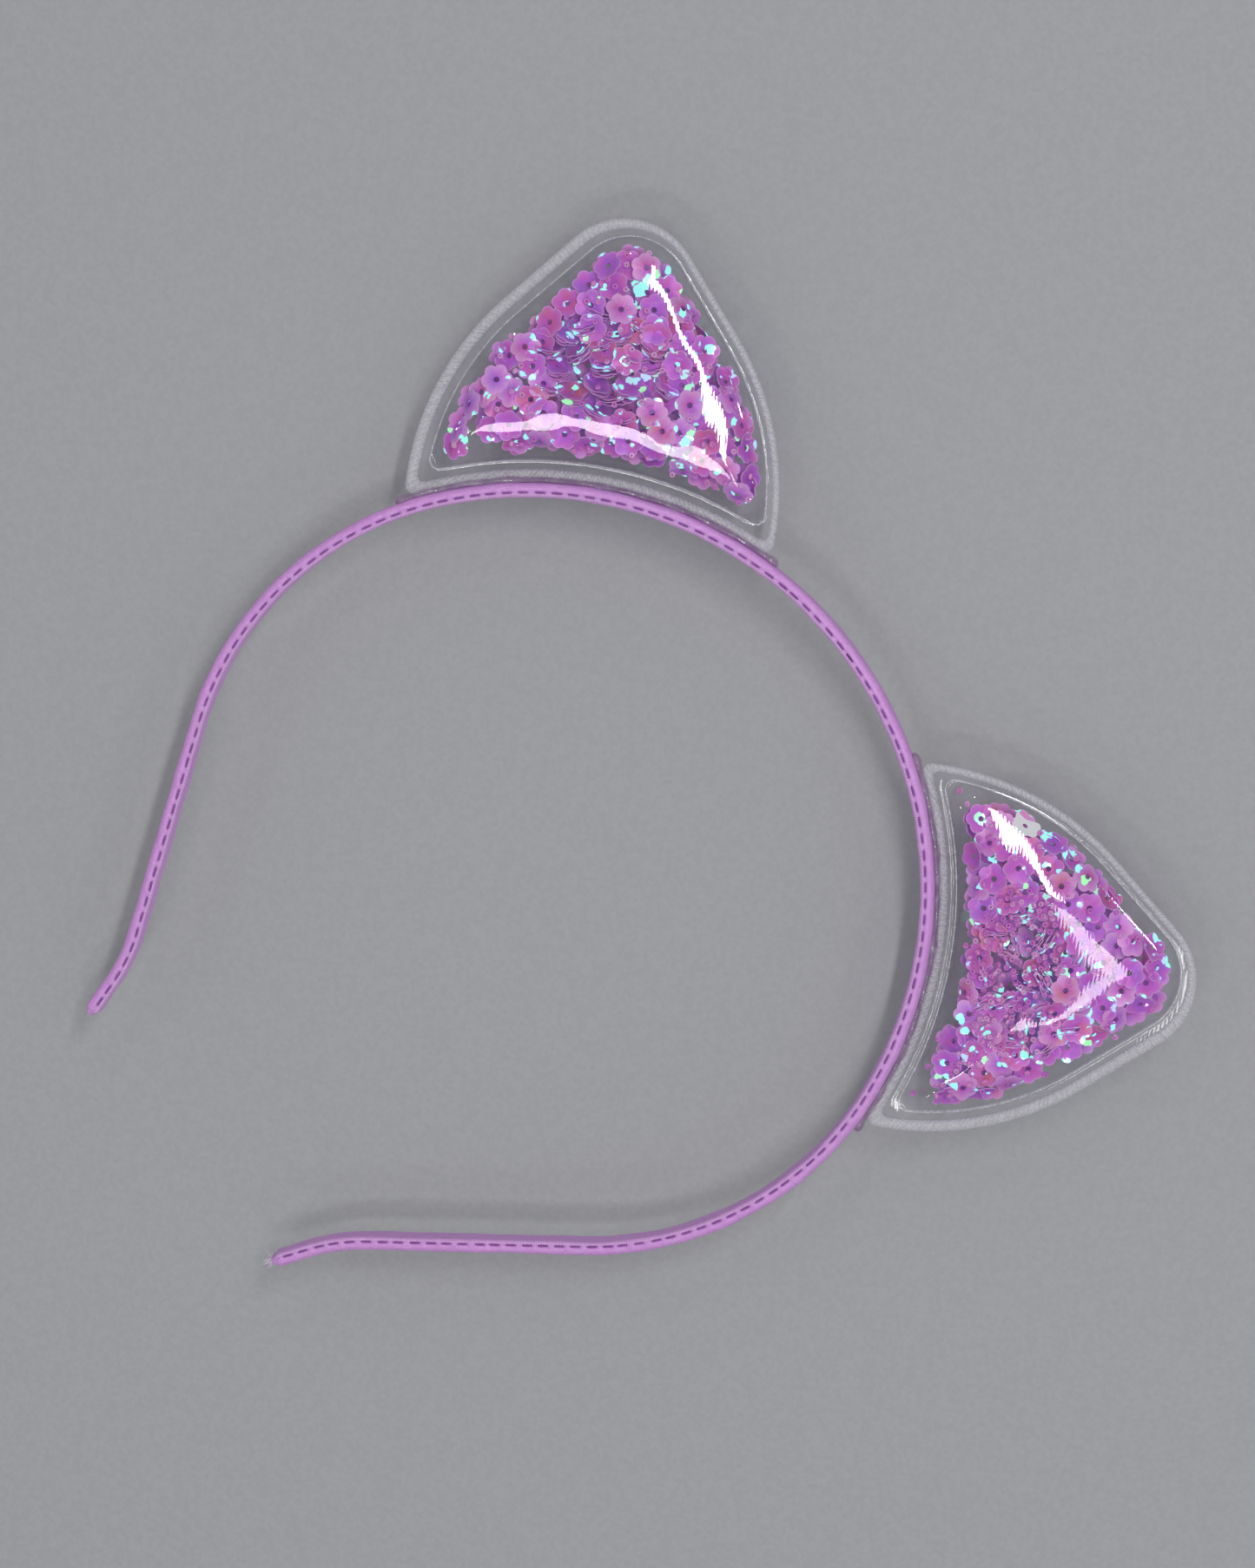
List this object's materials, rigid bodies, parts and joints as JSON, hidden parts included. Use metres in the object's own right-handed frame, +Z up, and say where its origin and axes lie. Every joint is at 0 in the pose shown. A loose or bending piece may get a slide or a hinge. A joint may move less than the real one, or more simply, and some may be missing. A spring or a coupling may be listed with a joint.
{
  "type": "animal ears headband",
  "caption": "Satin-covered spring headband with two clear cat-ear pouches, each holding loose flower sequins and seed beads.",
  "frame": {"origin": "centre of the crown's inner arc, which sits on the head, midway through the band's width", "axes": "+Z up between the ears, +X to the right of someone looking at the front, -Y forward to that viewer"},
  "size_m": [0.1568, 0.0102, 0.1497],
  "materials": {
    "satin": "satin ribbon",
    "thread": "matte thread",
    "spring_steel": "rolled",
    "sealed_satin": "melted ribbon end",
    "clear_film": "clear gloss",
    "weld_bead": "frosted",
    "clear_glue": "clear gloss",
    "sequin": "iridescent",
    "seed_bead": "gloss"
  },
  "bodies": {
    "crown": {"crown_satin_cover": "satin", "crown_seam_stitches": "thread", "crown_spring_strip": "spring_steel"},
    "right_shoulder": {"right_shoulder_satin_cover": "satin", "right_shoulder_seam_stitches": "thread", "right_shoulder_spring_strip": "spring_steel", "right_ear_glue_bead": "clear_glue", "right_ear_weld_rim": "weld_bead", "right_ear_front_film": "clear_film", "right_ear_back_film": "clear_film"},
    "right_arm": {"right_arm_satin_cover": "satin", "right_arm_seam_stitches": "thread", "right_arm_spring_strip": "spring_steel", "right_sealed_tip": "sealed_satin"},
    "right_fill": {"right_ear_flower_sequins": "sequin", "right_ear_seed_beads": "seed_bead"},
    "left_shoulder": {"left_shoulder_satin_cover": "satin", "left_shoulder_seam_stitches": "thread", "left_shoulder_spring_strip": "spring_steel", "left_ear_glue_bead": "clear_glue", "left_ear_weld_rim": "weld_bead", "left_ear_front_film": "clear_film", "left_ear_back_film": "clear_film"},
    "left_arm": {"left_arm_satin_cover": "satin", "left_arm_seam_stitches": "thread", "left_arm_spring_strip": "spring_steel", "left_sealed_tip": "sealed_satin"},
    "left_fill": {"left_ear_flower_sequins": "sequin", "left_ear_seed_beads": "seed_bead"}
  },
  "joints": [
    {"name": "right_shoulder_flex", "type": "hinge", "parent": "crown", "child": "right_shoulder", "pos_m": [0.01144, 0, 0.06211], "axis": [0, -1, 0], "range_deg": [-3.5, 8], "stiffness_Nm_per_rad": 0.5},
    {"name": "right_arm_flex", "type": "hinge", "parent": "right_shoulder", "child": "right_arm", "pos_m": [0.0624, 0, 0.0041], "axis": [0, -1, 0], "range_deg": [-6.5, 14.5], "stiffness_Nm_per_rad": 0.15},
    {"name": "right_fill_shift", "type": "slide", "parent": "right_shoulder", "child": "right_fill", "axis": [0.6959, 0, 0.7181], "range_m": [-0.0004, 0.0006]},
    {"name": "left_shoulder_flex", "type": "hinge", "parent": "crown", "child": "left_shoulder", "pos_m": [-0.01144, 0, 0.06211], "axis": [0, 1, 0], "range_deg": [-3.5, 8], "stiffness_Nm_per_rad": 0.5},
    {"name": "left_arm_flex", "type": "hinge", "parent": "left_shoulder", "child": "left_arm", "pos_m": [-0.0624, 0, 0.0041], "axis": [0, 1, 0], "range_deg": [-6.5, 14.5], "stiffness_Nm_per_rad": 0.15},
    {"name": "left_fill_shift", "type": "slide", "parent": "left_shoulder", "child": "left_fill", "axis": [-0.6959, 0, 0.7181], "range_m": [-0.0004, 0.0006]}
  ],
  "couplings": [
    {"joint": "right_arm_flex", "follows": "right_shoulder_flex", "ratio": 1.8},
    {"joint": "left_arm_flex", "follows": "left_shoulder_flex", "ratio": 1.8}
  ]
}
